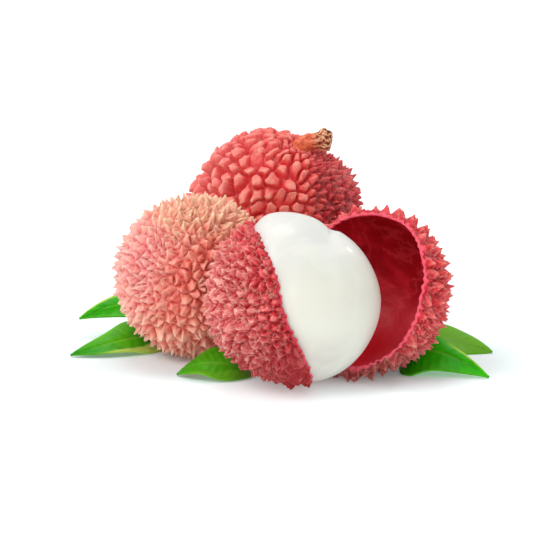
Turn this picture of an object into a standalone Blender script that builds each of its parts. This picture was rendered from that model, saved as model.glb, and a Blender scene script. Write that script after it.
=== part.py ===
"""A bunch of lychees: two whole fruits, one fruit opened to show its white flesh, and five leaves.

The opened fruit's peel lies in two halves: one still holds the flesh, the other stands empty beside it.
Metres, +Z up. The origin is on the surface, under the middle of the opened fruit.
"""

import math

import bmesh
import bpy
import numpy as np
from mathutils import Matrix, Quaternion, Vector

MM = 0.001
UP = Vector((0, 0, 1))

# Driving dimensions of the opened fruit, as radii of its round form
FLESH_RADIUS = 16.0 * MM
CLEARANCE = 0.3 * MM
PEEL_WALL = 0.7 * MM
SPIKE_HEIGHT = 1.15 * MM
OPENED_DEPTH = 0.93  # the fruit is a little flatter front to back
RESTING_FLAT = 0.45 * MM  # how far the lowest tubercle of each fruit is pressed flat

OPENED_INSIDE = FLESH_RADIUS + CLEARANCE
OPENED_OUTSIDE = OPENED_INSIDE + PEEL_WALL
OPENED_CENTRE = Vector((0, 0, OPENED_OUTSIDE + SPIKE_HEIGHT - RESTING_FLAT))

# The empty half of the peel, dried a little smaller
EMPTY_INSIDE = 15.15 * MM
EMPTY_OUTSIDE = EMPTY_INSIDE + 0.8 * MM
EMPTY_SPIKE = 1.6 * MM
EMPTY_CENTRE = Vector((12.9 * MM, 9.3 * MM, EMPTY_OUTSIDE + EMPTY_SPIKE - RESTING_FLAT))

# The two whole fruits
LEFT_RADIUS = 15.9 * MM
LEFT_SPIKE = 1.35 * MM
LEFT_DEPTH = 0.92
LEFT_STANDS_AT = (-21.3 * MM, 25.9 * MM)

BACK_RADIUS = 17.5 * MM
BACK_KNOB = 1.5 * MM
BACK_DEPTH = 0.86
BACK_STANDS_AT = (-4.2 * MM, 54.8 * MM)

# Which way the openings and the stalk point
HELD_OPENING = Vector((0.947, 0.0726, 0.309)).normalized()
HELD_RIM_OFFSET = -3.2 * MM  # the held half stops short of the fruit's middle
EMPTY_OPENING = Vector((-0.67, -0.633, 0.39)).normalized()
BACK_STALK_AXIS = Vector((0.37, -0.10, 0.92)).normalized()
LEFT_STALK_AXIS = Vector((-0.35, 0.55, 0.76)).normalized()

HOLLOW_SIDES = 36


def clear_scene():
    for obj in list(bpy.data.objects):
        bpy.data.objects.remove(obj)


def material(name, colour, roughness):
    made = bpy.data.materials.new(name)
    made.use_nodes = True
    shader = made.node_tree.nodes["Principled BSDF"]
    shader.inputs["Base Color"].default_value = (*colour, 1)
    shader.inputs["Roughness"].default_value = roughness
    shader.inputs["Metallic"].default_value = 0
    return made


def new_object(name, mesh, finish=None):
    obj = bpy.data.objects.new(name, mesh)
    bpy.context.scene.collection.objects.link(obj)
    if finish:
        mesh.materials.append(finish)
    return obj


def as_cutter(obj):
    obj.hide_render = True
    obj.display_type = "WIRE"
    return obj


def boolean(obj, cutter, operation, solver="EXACT"):
    modifier = obj.modifiers.new(f"{operation.lower()} {cutter.name}", "BOOLEAN")
    modifier.operation = operation
    modifier.solver = solver
    modifier.object = cutter


# ---------------------------------------------------------------- tubercled skin


def spread_directions(count, jitter, seed, resting):
    """Unit vectors spread evenly over a ball in a golden spiral, each nudged a little.

    The pattern is turned so that one of them is the resting direction, which becomes the first.
    """
    rng = np.random.default_rng(seed)
    index = np.arange(count) + 0.5
    polar = np.arccos(1 - 2 * index / count)
    turn = math.pi * (1 + math.sqrt(5)) * index
    ball = np.stack(
        [np.sin(polar) * np.cos(turn), np.sin(polar) * np.sin(turn), np.cos(polar)], 1
    )
    ball += rng.normal(0, jitter / math.sqrt(count), ball.shape)
    directions = [Vector(row).normalized() for row in ball]
    directions.sort(key=lambda direction: -direction.dot(resting))
    turn_down = directions[0].rotation_difference(resting)
    return [turn_down @ direction for direction in directions]


def lowest_direction(form):
    """The direction from the middle in which a form reaches lowest."""
    tries = []
    for polar in np.radians(np.arange(0, 60, 1.0)):
        for turn in np.radians(np.arange(0, 360, 6.0)):
            across = math.sin(polar)
            tries.append(
                Vector((across * math.cos(turn), across * math.sin(turn), -math.cos(polar)))
            )
    return min(tries, key=lambda direction: direction.z * form(direction))


def cells_round(directions):
    """For each direction, the corners of its cell: the middles of the hull's faces that meet there."""
    hull = bmesh.new()
    for direction in directions:
        hull.verts.new(direction)
    bmesh.ops.convex_hull(hull, input=list(hull.verts))
    hull.faces.index_update()
    corners = []
    for face in hull.faces:
        middle = face.normal.copy()
        corners.append(middle if middle.dot(face.calc_center_median()) > 0 else -middle)
    cells = []
    for vert in hull.verts:
        start = vert.link_loops[0]
        ring = []
        loop = start
        while True:
            ring.append(loop.face.index)
            loop = loop.link_loop_prev.link_loop_radial_next
            if loop == start:
                break
        cells.append((vert.co.copy(), ring))
    hull.free()
    return corners, cells


def skin_mesh(name, form, count, height, seed, plateau=0.0, jitter=0.28):
    """A closed skin of tubercles. form(direction) gives the valley's distance from the middle.

    Each cell rises to one point, or with a plateau to a smaller flat-topped knob.
    """
    rng = np.random.default_rng(seed + 1)
    resting = lowest_direction(form)
    corners, cells = cells_round(spread_directions(count, jitter, seed, resting))
    bm = bmesh.new()
    valley = [bm.verts.new(corner * form(corner)) for corner in corners]
    for middle, ring in cells:
        rise = height * rng.uniform(0.75, 1.0)
        lean = Vector(rng.normal(0, 0.018, 3))
        if middle.dot(resting) > 0.99999:
            rise, lean = height, Vector((0, 0, 0))
        summit = (middle + lean).normalized()
        peak = bm.verts.new(summit * (form(summit) + rise))
        low = [valley[i] for i in ring]
        if plateau:
            high = []
            for vert in low:
                way = vert.co.normalized().lerp(summit, 1 - plateau).normalized()
                high.append(bm.verts.new(way * (form(way) + 0.78 * rise)))
        else:
            high = low
        for k in range(len(ring)):
            after = (k + 1) % len(ring)
            if plateau:
                bm.faces.new((low[k], low[after], high[after], high[k]))
            bm.faces.new((high[k], high[after], peak))
    bmesh.ops.triangulate(bm, faces=[f for f in bm.faces if len(f.verts) > 3])
    bmesh.ops.recalc_face_normals(bm, faces=bm.faces)
    mesh = bpy.data.meshes.new(name)
    bm.to_mesh(mesh)
    bm.free()
    return mesh


def ovoid(radius, depth):
    """A round form that is flatter front to back, as the distance from its middle each way."""

    def form(direction):
        return radius / math.sqrt(1 + direction.y**2 * (1 / depth**2 - 1))

    return form


def heart(radius, depth, stalk):
    """A tall fruit: broad shoulders round a dimple at the stalk, drawn in to a blunt lower end."""
    low_end, dimple, shoulder = 0.42, 0.13, 0.02
    dimple_spread, shoulder_at = 0.36, 0.85

    def form(direction):
        along = max(-1.0, min(1.0, direction.dot(stalk)))
        polar = math.acos(along)
        reach = 1 + low_end * ((1 - along) / 2) ** 4.2
        reach -= dimple * math.exp(-((polar / dimple_spread) ** 2))
        reach += shoulder * math.exp(-(((polar - shoulder_at) / 0.45) ** 2))
        return reach * ovoid(radius, depth)(direction)

    return form


def dimpled(radius, depth, stalk):
    """A round fruit with a shallow dimple where its stalk came away."""

    def form(direction):
        polar = math.acos(max(-1.0, min(1.0, direction.dot(stalk))))
        return ovoid(radius, depth)(direction) * (1 - 0.07 * math.exp(-((polar / 0.3) ** 2)))

    return form


# ---------------------------------------------------------------- cutters


def ground_cutter():
    """Takes off what lies below the surface, so that the lowest tubercles end in small flat spots."""
    bm = bmesh.new()
    bmesh.ops.create_cube(bm, size=0.2)
    mesh = bpy.data.meshes.new("ground_cutter")
    bm.to_mesh(mesh)
    bm.free()
    cutter = as_cutter(new_object("ground_cutter", mesh))
    cutter.location = (0, 0.03, -0.1)
    return cutter


def torn_edge_cutter(name, centre, opening, offset, waves, amplitude):
    """A drum on the open side of a torn edge. The edge wanders in and out as it goes round."""
    sides, radius, depth = 48, 26 * MM, 44 * MM
    bm = bmesh.new()
    near, far = [], []
    for k in range(sides):
        turn = 2 * math.pi * k / sides
        wander = sum(size * math.sin(count * turn + phase) for count, size, phase in waves)
        x, y = radius * math.cos(turn), radius * math.sin(turn)
        near.append(bm.verts.new((x, y, amplitude * wander)))
        far.append(bm.verts.new((x, y, depth)))
    hub = bm.verts.new((0, 0, 0))
    bm.faces.new(far)
    for k in range(sides):
        after = (k + 1) % sides
        bm.faces.new((hub, near[after], near[k]))
        bm.faces.new((near[k], near[after], far[after], far[k]))
    bmesh.ops.recalc_face_normals(bm, faces=bm.faces)
    mesh = bpy.data.meshes.new(name)
    bm.to_mesh(mesh)
    bm.free()
    cutter = as_cutter(new_object(name, mesh))
    cutter.location = centre + opening * offset
    cutter.rotation_mode = "QUATERNION"
    cutter.rotation_quaternion = opening.to_track_quat("Z", "Y")
    return cutter


def hollow_cutter(name, centre, radius, depth):
    bm = bmesh.new()
    bmesh.ops.create_uvsphere(
        bm, u_segments=HOLLOW_SIDES, v_segments=HOLLOW_SIDES // 2, radius=radius
    )
    bmesh.ops.scale(bm, vec=(1, depth, 1), verts=bm.verts)
    mesh = bpy.data.meshes.new(name)
    bm.to_mesh(mesh)
    bm.free()
    cutter = as_cutter(new_object(name, mesh))
    cutter.location = centre
    return cutter


# ---------------------------------------------------------------- the fruits


def whole_fruit(name, mesh, stands_at, ground):
    """A fruit standing on its lowest tubercle, which the surface presses flat."""
    fruit = new_object(name, mesh)
    lowest = min(vert.co.z for vert in mesh.vertices)
    fruit.location = (*stands_at, -lowest - RESTING_FLAT)
    boolean(fruit, ground, "DIFFERENCE")
    return fruit


def half_peel(name, mesh, centre, edge, hollow, ground):
    half = new_object(name, mesh)
    half.location = centre
    for cutter in (edge, hollow, ground):
        boolean(half, cutter, "DIFFERENCE", solver="MANIFOLD")
    return half


def ball_reach(direction, centre, radius):
    """How far the surface of a ball is from the origin, which lies inside it, in one direction."""
    along = direction.dot(centre)
    return along + math.sqrt(radius**2 - centre.length_squared + along**2)


# The flesh has two soft lobes, which meet in a crease that is deepest at the top
UPPER_LOBE = Vector((-2.9, 0, 1.0)) * MM
UPPER_LOBE_RADIUS = 15.4 * MM
RIGHT_LOBE = Vector((0.4, 0, -0.9)) * MM
RIGHT_LOBE_RADIUS = 15.7 * MM
CREASE_TOP = Vector((0.50, -0.05, 0.86)).normalized()
CREASE_DIP = 0.7 * MM
BARE_BULGE = 0.8 * MM  # how far the flesh may swell where no peel holds it


def flesh_reach(direction):
    """Distance from the middle to the surface of the flesh, before it is flattened front to back."""
    upper = ball_reach(direction, UPPER_LOBE, UPPER_LOBE_RADIUS)
    right = ball_reach(direction, RIGHT_LOBE, RIGHT_LOBE_RADIUS)
    near_top = max(0.0, direction.dot(CREASE_TOP)) ** 6
    softness = (1.6 - 1.2 * near_top) * MM
    larger, smaller = max(upper, right), min(upper, right)
    blend = max(softness - (larger - smaller), 0) / softness
    reach = larger + blend**2 * softness / 4
    reach -= CREASE_DIP * near_top * blend
    bare = max(0.0, min(1.0, 2.5 * (direction.dot(HELD_OPENING) + 0.1)))
    return min(reach, FLESH_RADIUS + bare * BARE_BULGE)


def flesh(finish):
    """The translucent aril, a smooth ovoid in two lobes."""
    bm = bmesh.new()
    bmesh.ops.create_uvsphere(bm, u_segments=32, v_segments=18, radius=1)
    for vert in bm.verts:
        vert.co = vert.co.normalized() * flesh_reach(vert.co.normalized())
        vert.co.y *= OPENED_DEPTH
    mesh = bpy.data.meshes.new("flesh")
    bm.to_mesh(mesh)
    bm.free()
    mesh.shade_smooth()
    made = new_object("flesh", mesh, finish)
    made.location = OPENED_CENTRE
    return made


STALK_SIDES = 10
# Along the stalk: distance from the seat, sideways drift, radius (mm)
STALK_RINGS = (
    (0.0, 0.0, 1.7),
    (1.0, 0.15, 1.55),
    (1.9, 0.7, 1.5),
    (2.7, 1.7, 1.6),
    (3.3, 2.9, 1.95),
    (3.7, 4.1, 2.3),
    (4.0, 5.1, 2.25),
    (4.15, 5.8, 1.5),
)


def stalk(finish, seat, axis, lean):
    """The short stub of stalk: a neck that bends over and a swollen, broken end."""
    rng = np.random.default_rng(31)
    bm = bmesh.new()
    points = [seat + axis * (a * MM) + lean * (b * MM) for a, b, _ in STALK_RINGS]
    rings = []
    for k, (_, _, radius) in enumerate(STALK_RINGS):
        ahead = points[min(k + 1, len(points) - 1)] - points[max(k - 1, 0)]
        turn = ahead.to_track_quat("Z", "Y")
        rough = 0.03 + 0.11 * (k >= 4)
        ring = []
        for side in range(STALK_SIDES):
            angle = 2 * math.pi * side / STALK_SIDES
            out = turn @ Vector((math.cos(angle), math.sin(angle), 0))
            swell = radius * MM * (1 + rng.uniform(-rough, rough))
            ring.append(bm.verts.new(points[k] + out * swell))
        rings.append(ring)
    for low, high in zip(rings, rings[1:]):
        for side in range(STALK_SIDES):
            after = (side + 1) % STALK_SIDES
            bm.faces.new((low[side], low[after], high[after], high[side]))
    bm.faces.new(reversed(rings[0]))
    tip = bm.verts.new(points[-1] + (points[-1] - points[-2]) * 0.8)
    for side in range(STALK_SIDES):
        bm.faces.new((rings[-1][side], rings[-1][(side + 1) % STALK_SIDES], tip))
    bmesh.ops.triangulate(bm, faces=bm.faces)
    bmesh.ops.recalc_face_normals(bm, faces=bm.faces)
    mesh = bpy.data.meshes.new("stalk_stub")
    bm.to_mesh(mesh)
    bm.free()
    return new_object("stalk_stub", mesh, finish)


def stalk_socket(seat, axis):
    """A round pit in the back fruit that takes the foot of the stalk with a little clearance."""
    bm = bmesh.new()
    bmesh.ops.create_cone(
        bm,
        cap_ends=True,
        segments=STALK_SIDES + 2,
        radius1=STALK_RINGS[0][2] * MM + 2.8 * CLEARANCE,
        radius2=STALK_RINGS[0][2] * MM + 2.8 * CLEARANCE,
        depth=6 * MM,
    )
    mesh = bpy.data.meshes.new("stalk_socket")
    bm.to_mesh(mesh)
    bm.free()
    cutter = as_cutter(new_object("stalk_socket", mesh))
    cutter.location = seat + axis * (3 * MM - CLEARANCE)
    cutter.rotation_mode = "QUATERNION"
    cutter.rotation_quaternion = axis.to_track_quat("Z", "Y")
    return cutter


# ---------------------------------------------------------------- leaves

LEAF_THICKNESS = 0.62 * MM
LEAF_STATIONS = 15
LEAF_ACROSS = 6  # strips from edge to edge, so three on each side of the midrib


def leaf_width(along, widest_at):
    """Half-width of a leaflet from its stalk (0) to its drawn-out tip (1), as a share of the widest."""
    power = math.log(0.5) / math.log(widest_at)
    blade = math.sin(math.pi * along**power) ** 0.85 * (1 - 0.1 * along)
    return max(blade, 0.10 if along < 0.5 else 0.045)


def bezier(points, t):
    a, b, c = points
    return a * (1 - t) ** 2 + b * 2 * t * (1 - t) + c * t**2


def leaf_grid(path, near_width, far_width, near_fold, far_fold, widest_at, ripple=0.25 * MM):
    """Points of the blade's middle sheet, row by row from base to tip along a curve.

    The near half is on the -Y side of the midrib. Each half tilts up or down by its fold, in degrees.
    """
    rows = []
    for i in range(LEAF_STATIONS):
        t = i / (LEAF_STATIONS - 1)
        centre = bezier(path, t)
        ahead = (bezier(path, min(t + 0.02, 1)) - bezier(path, max(t - 0.02, 0))).normalized()
        side = ahead.cross(UP).normalized()
        if side.y > 0:
            side.negate()
        lift = side.cross(ahead).normalized()
        if lift.z < 0:
            lift.negate()
        row = []
        for j in range(LEAF_ACROSS + 1):
            across = 2 * j / LEAF_ACROSS - 1
            near = across > 0
            reach = (near_width if near else far_width) * leaf_width(t, widest_at) * abs(across)
            # the fold eases out towards the edge, so that each half is a shallow curve
            fold = math.radians(near_fold if near else far_fold) * (1 - 0.35 * abs(across))
            wave = ripple * math.sin(9.7 * t + 2 * across) * abs(across) * math.sin(math.pi * t)
            sideways = math.copysign(reach * math.cos(fold), across)
            row.append(centre + side * sideways + lift * (reach * math.sin(fold) + wave))
        rows.append(row)
    return np.array([[tuple(point) for point in row] for row in rows])


def leaf(name, finish, base, bend, tip, **shape):
    """A blade lying on the surface. Both of its faces are split into the same triangles."""
    grid = leaf_grid([Vector(point) * MM for point in (base, bend, tip)], **shape)
    bm = bmesh.new()
    along = np.gradient(grid, axis=0)
    across = np.gradient(grid, axis=1)
    normal = np.cross(along, across)
    normal /= np.linalg.norm(normal, axis=2, keepdims=True)
    if normal[..., 2].mean() < 0:
        normal = -normal
    grid[..., 2] -= (grid - normal * LEAF_THICKNESS / 2)[..., 2].min()
    top, under = (
        [[bm.verts.new(point) for point in row] for row in grid + normal * offset]
        for offset in (LEAF_THICKNESS / 2, -LEAF_THICKNESS / 2)
    )
    last, edge = LEAF_STATIONS - 1, LEAF_ACROSS
    for i in range(last):
        for j in range(edge):
            for sheet in (top, under):
                a, b = sheet[i][j], sheet[i + 1][j]
                c, d = sheet[i + 1][j + 1], sheet[i][j + 1]
                bm.faces.new((a, b, c))
                bm.faces.new((a, c, d))
    rim = [(i, 0) for i in range(last)] + [(last, j) for j in range(edge)]
    rim += [(i, edge) for i in range(last, 0, -1)] + [(0, j) for j in range(edge, 0, -1)]
    for (i, j), (m, n) in zip(rim, rim[1:] + rim[:1]):
        bm.faces.new((top[i][j], top[m][n], under[m][n]))
        bm.faces.new((top[i][j], under[m][n], under[i][j]))
    bmesh.ops.recalc_face_normals(bm, faces=bm.faces)
    mesh = bpy.data.meshes.new(name)
    bm.to_mesh(mesh)
    bm.free()
    return new_object(name, mesh, finish)


# Base, bend and tip of each midrib in millimetres, then the blade's halves
LEAVES = {
    "leaf_left_low": dict(
        base=(-27.8, 38.6, 1.1), bend=(-33.4, 24.0, 5.2), tip=(-46.9, 22.9, 0.7),
        near_width=5.8 * MM, far_width=5.6 * MM, near_fold=-34, far_fold=42, widest_at=0.37,
    ),
    "leaf_left_high": dict(
        base=(-23.6, 49.4, 1.0), bend=(-31.7, 44.7, 11.9), tip=(-46.8, 39.7, 4.9),
        near_width=5.2 * MM, far_width=4.8 * MM, near_fold=-66, far_fold=46, widest_at=0.42,
    ),
    "leaf_front": dict(
        base=(-8.6, 8.5, 0.9), bend=(-18.8, 4.6, 5.9), tip=(-24.1, 8.2, 0.6),
        near_width=4.8 * MM, far_width=6.1 * MM, near_fold=-31, far_fold=25, widest_at=0.36,
    ),
    "leaf_right_low": dict(
        base=(21.5, 16.7, 0.9), bend=(25.5, 13.6, 7.0), tip=(37.7, 6.1, 0.0),
        near_width=8.6 * MM, far_width=4.7 * MM, near_fold=-36, far_fold=52, widest_at=0.31,
    ),
    "leaf_right_high": dict(
        base=(20.5, 36.4, 1.4), bend=(28.5, 29.8, 3.8), tip=(40.7, 26.2, 0.8),
        near_width=5.6 * MM, far_width=6.5 * MM, near_fold=-21, far_fold=22, widest_at=0.48,
    ),
}


def main():
    clear_scene()
    pink_skin = material("pink_skin", (0.78, 0.30, 0.24), 0.62)
    red_skin = material("red_skin", (0.70, 0.12, 0.13), 0.55)
    peel_skin = material("peel_skin", (0.66, 0.15, 0.17), 0.58)
    aril = material("aril", (0.88, 0.88, 0.84), 0.22)
    bark = material("stalk_bark", (0.45, 0.20, 0.10), 0.8)
    green = material("leaf_green", (0.09, 0.33, 0.04), 0.4)
    ground = ground_cutter()

    left_form = dimpled(LEFT_RADIUS, LEFT_DEPTH, LEFT_STALK_AXIS)
    left_mesh = skin_mesh("lychee_left", left_form, 420, LEFT_SPIKE, seed=3)
    left_mesh.materials.append(pink_skin)
    whole_fruit("lychee_left", left_mesh, LEFT_STANDS_AT, ground)

    back_form = heart(BACK_RADIUS, BACK_DEPTH, BACK_STALK_AXIS)
    back_mesh = skin_mesh("lychee_back", back_form, 240, BACK_KNOB, seed=8, plateau=0.55)
    back_mesh.materials.append(red_skin)
    back = whole_fruit("lychee_back", back_mesh, BACK_STANDS_AT, ground)
    seat = back.location + BACK_STALK_AXIS * (back_form(BACK_STALK_AXIS) - 0.4 * MM)
    boolean(back, stalk_socket(seat, BACK_STALK_AXIS), "DIFFERENCE")
    lean = Vector((1, -0.1, -0.25)).normalized()
    stalk(bark, seat, BACK_STALK_AXIS, lean)

    opened = ovoid(OPENED_OUTSIDE, OPENED_DEPTH)
    held_waves = ((2, 0.5, 0.4), (5, 0.35, 1.0), (9, 0.3, 2.2), (14, 0.2, 0.3))
    held_edge = torn_edge_cutter(
        "held_edge", OPENED_CENTRE, HELD_OPENING, HELD_RIM_OFFSET, held_waves, 0.5 * MM
    )
    held_hollow = hollow_cutter("held_hollow", OPENED_CENTRE, OPENED_INSIDE, OPENED_DEPTH)
    held_mesh = skin_mesh("peel_half_held", opened, 400, SPIKE_HEIGHT, seed=7)
    held_mesh.materials.append(peel_skin)
    half_peel("peel_half_held", held_mesh, OPENED_CENTRE, held_edge, held_hollow, ground)
    flesh(aril)

    empty = ovoid(EMPTY_OUTSIDE, 1.0)
    empty_waves = ((2, 0.8, 1.2), (3, 0.5, 0.2), (7, 0.35, 1.9), (12, 0.25, 0.5))
    empty_edge = torn_edge_cutter(
        "empty_edge", EMPTY_CENTRE, EMPTY_OPENING, 0.0, empty_waves, 0.8 * MM
    )
    empty_hollow = hollow_cutter("empty_hollow", EMPTY_CENTRE, EMPTY_INSIDE, 1.0)
    empty_mesh = skin_mesh("peel_half_empty", empty, 360, EMPTY_SPIKE, seed=11)
    empty_mesh.materials.append(peel_skin)
    half_peel("peel_half_empty", empty_mesh, EMPTY_CENTRE, empty_edge, empty_hollow, ground)

    for name, shape in LEAVES.items():
        leaf(name, green, **shape)


main()
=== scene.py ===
"""The finished look of a bunch of lychees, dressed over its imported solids."""

import math

import bpy
import numpy as np
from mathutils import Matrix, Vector, noise


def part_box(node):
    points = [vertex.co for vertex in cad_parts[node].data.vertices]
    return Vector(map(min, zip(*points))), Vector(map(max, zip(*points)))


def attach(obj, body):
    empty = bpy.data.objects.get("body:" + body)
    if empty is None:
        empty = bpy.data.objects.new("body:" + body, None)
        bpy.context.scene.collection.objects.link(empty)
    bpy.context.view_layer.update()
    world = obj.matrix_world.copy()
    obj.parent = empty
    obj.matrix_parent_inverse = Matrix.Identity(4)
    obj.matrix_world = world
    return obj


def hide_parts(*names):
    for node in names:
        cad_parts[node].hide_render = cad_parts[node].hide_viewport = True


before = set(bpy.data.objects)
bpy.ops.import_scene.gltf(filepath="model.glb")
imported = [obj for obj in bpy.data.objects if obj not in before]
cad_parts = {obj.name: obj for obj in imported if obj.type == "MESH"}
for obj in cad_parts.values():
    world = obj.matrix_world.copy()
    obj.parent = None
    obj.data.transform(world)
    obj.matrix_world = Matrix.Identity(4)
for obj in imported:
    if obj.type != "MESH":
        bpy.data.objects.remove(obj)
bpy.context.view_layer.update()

MM = 0.001
FLOOR_GAP = 0.02 * MM
BALL_CUTS = 31


# ---------------------------------------------------------------- small helpers


def unit(rows):
    return rows / np.linalg.norm(rows, axis=-1, keepdims=True)


def ease(low, high, value):
    """0 below low, 1 above high, and a soft step between."""
    t = np.clip((value - low) / (high - low), 0, 1)
    return t * t * (3 - 2 * t)


def facing(ways, way, low, high):
    """1 for the ways that look along one way, 0 for those that don't, with a soft step between.

    low and high are cosines: where the step starts and ends.
    """
    return ease(low, high, ways @ unit(np.array(way)))


def start_clean():
    if bpy.context.mode != "OBJECT":
        bpy.ops.object.mode_set(mode="OBJECT")
    bpy.ops.object.select_all(action="DESELECT")


def points_of(piece):
    rows = np.empty(len(piece.data.vertices) * 3, np.float32)
    piece.data.vertices.foreach_get("co", rows)
    return rows.reshape(-1, 3).astype(float)


def move_points(piece, rows):
    piece.data.vertices.foreach_set("co", rows.astype(np.float32).ravel())
    piece.data.update()


def note_on(piece, notes):
    """Keeps named numbers, one for each point, for the finish to read."""
    for name, values in notes.items():
        layer = piece.data.attributes.new(name, "FLOAT", "POINT")
        layer.data.foreach_set("value", np.asarray(values, np.float32))


def set_down(piece, rows, centre, notes):
    """Gives a piece its shape in its place, with no point under the floor."""
    rows = rows + centre
    rows[:, 2] = np.maximum(rows[:, 2], FLOOR_GAP)
    move_points(piece, rows)
    note_on(piece, notes)


def finish_piece(piece, paint, node):
    piece.data.materials.clear()
    piece.data.materials.append(paint)
    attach(piece, "root")
    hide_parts(node)
    return piece


def even_ball(name, cuts):
    """A cube, cut evenly on every side and blown up to a ball of radius 1.

    Each side is cut into cuts times 32 squares along an edge.
    """
    start_clean()
    bpy.ops.mesh.primitive_cube_add(size=2)
    ball = bpy.context.object
    ball.name = name
    ball.data.name = name
    bpy.ops.object.mode_set(mode="EDIT")
    bpy.ops.mesh.select_all(action="SELECT")
    bpy.ops.mesh.subdivide(number_cuts=cuts - 1)
    bpy.ops.mesh.subdivide(number_cuts=BALL_CUTS)
    bpy.ops.object.mode_set(mode="OBJECT")
    bpy.ops.object.shade_smooth()
    move_points(ball, unit(np.tan(points_of(ball) * math.pi / 4)))
    return ball


def blank_sheet(name, across, along):
    """A flat grid. Returns it with each point's column and row as shares from 0 to 1."""
    start_clean()
    bpy.ops.mesh.primitive_grid_add(x_subdivisions=across, y_subdivisions=along, size=2)
    sheet = bpy.context.object
    sheet.name = name
    sheet.data.name = name
    bpy.ops.object.shade_smooth()
    places = points_of(sheet)
    return sheet, (places[:, 0] + 1) / 2, (places[:, 1] + 1) / 2


def close_seams(piece):
    """Merges the points that meet where a sheet was wrapped round. Turns its faces outwards."""
    start_clean()
    bpy.context.view_layer.objects.active = piece
    piece.select_set(True)
    bpy.ops.object.mode_set(mode="EDIT")
    bpy.ops.mesh.select_all(action="SELECT")
    bpy.ops.mesh.remove_doubles(threshold=1e-6)
    bpy.ops.mesh.dissolve_degenerate(threshold=1e-7)
    bpy.ops.mesh.select_all(action="SELECT")
    bpy.ops.mesh.normals_make_consistent(inside=False)
    bpy.ops.object.mode_set(mode="OBJECT")


# ---------------------------------------------------------------- where the fruits are

OPENED_DEPTH = 0.93
OPENED_OUTSIDE = 17.0 * MM
OPENED_INSIDE = 16.15 * MM
OPENED_SPIKE = 1.15 * MM
OPENED_CENTRE = np.array([0, 0, 17.7]) * MM
OPENED_AXIS = Vector((0.947, 0.0726, 0.309)).normalized()
HELD_UNDERSIDE = (0.45, 0.9)

EMPTY_OUTSIDE = 15.95 * MM
EMPTY_INSIDE = 15.2 * MM
EMPTY_SPIKE = 1.6 * MM
EMPTY_CENTRE = np.array([12.9, 9.3, 17.1]) * MM
EMPTY_AXIS = Vector((-0.67, -0.633, 0.39)).normalized()
EMPTY_LOW_LEFT = (-0.5, -0.4, -0.77)

LEFT_RADIUS = 15.9 * MM
LEFT_DEPTH = 0.92
LEFT_SPIKE = 1.35 * 1.5 * MM
LEFT_CENTRE = np.array([-21.3, 25.9, 16.8]) * MM
LEFT_STALK_AXIS = unit(np.array([-0.35, 0.55, 0.76]))

BACK_RADIUS = 17.5 * MM
BACK_DEPTH = 0.86
BACK_KNOB = 1.5 * MM
BACK_STANDS_AT = np.array([-4.2, 54.8]) * MM
BACK_STALK_AXIS = unit(np.array([0.37, -0.10, 0.92]))
PRESSED_FLAT = 0.45 * MM


def ovoid(radius, depth):
    """Radius each way of a ball that is flatter front to back."""
    return lambda ways: radius / np.sqrt(1 + ways[:, 1] ** 2 * (1 / depth**2 - 1))


def dimpled(radius, depth, stalk):
    round_form = ovoid(radius, depth)

    def form(ways):
        polar = np.arccos(np.clip(ways @ stalk, -1, 1))
        return round_form(ways) * (1 - 0.07 * np.exp(-((polar / 0.3) ** 2)))

    return form


def heart(radius, depth, stalk):
    """Broad shoulders round a dimple at the stalk, drawn in to a blunt lower end."""
    round_form = ovoid(radius, depth)

    def form(ways):
        along = np.clip(ways @ stalk, -1, 1)
        polar = np.arccos(along)
        reach = 1 + 0.42 * ((1 - along) / 2) ** 4.2
        reach -= 0.13 * np.exp(-((polar / 0.36) ** 2))
        reach += 0.02 * np.exp(-(((polar - 0.85) / 0.45) ** 2))
        return reach * round_form(ways)

    return form


# ---------------------------------------------------------------- tubercles


def spiral_ball(count):
    index = np.arange(count) + 0.5
    polar = np.arccos(1 - 2 * index / count)
    turn = math.pi * (1 + math.sqrt(5)) * index
    return np.stack(
        [np.sin(polar) * np.cos(turn), np.sin(polar) * np.sin(turn), np.cos(polar)], 1
    )


def spread_seats(count, seed, crowding=None, rounds=10):
    """Where the tubercles sit: scattered, then nudged apart until they fill the skin evenly."""
    rng = np.random.default_rng(seed)
    tries = spiral_ball(9000)
    weight = np.ones(len(tries)) if crowding is None else crowding(tries)
    seats = tries[rng.choice(len(tries), count, replace=False, p=weight / weight.sum())]
    for _ in range(rounds):
        nearest = np.argmax(tries @ seats.T, axis=1)
        moved = np.zeros_like(seats)
        np.add.at(moved, nearest, tries * weight[:, None])
        lonely = np.linalg.norm(moved, axis=1) < 1e-9
        moved[lonely] = seats[lonely]
        seats = unit(moved)
    return seats


def drift(ways, size, fineness, seed, waves=14):
    """A smooth random push for each direction, so that nothing is laid out too evenly."""
    rng = np.random.default_rng(seed)
    push = np.zeros_like(ways)
    for _ in range(waves):
        along, pushed = unit(rng.normal(size=(2, 3)))
        turn = fineness * rng.uniform(0.6, 1.4) * (ways @ along) + rng.uniform(0, 6.3)
        push += np.sin(turn)[:, None] * pushed
    return push * size / math.sqrt(waves)


def crumple(ways, fineness, seed):
    """Sharp little ridges wandering over a surface: 1 along them, falling away to both sides."""
    return 1 - np.minimum(np.abs(drift(ways, 1.0, fineness, seed)[:, 0]) / 0.6, 1)


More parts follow.
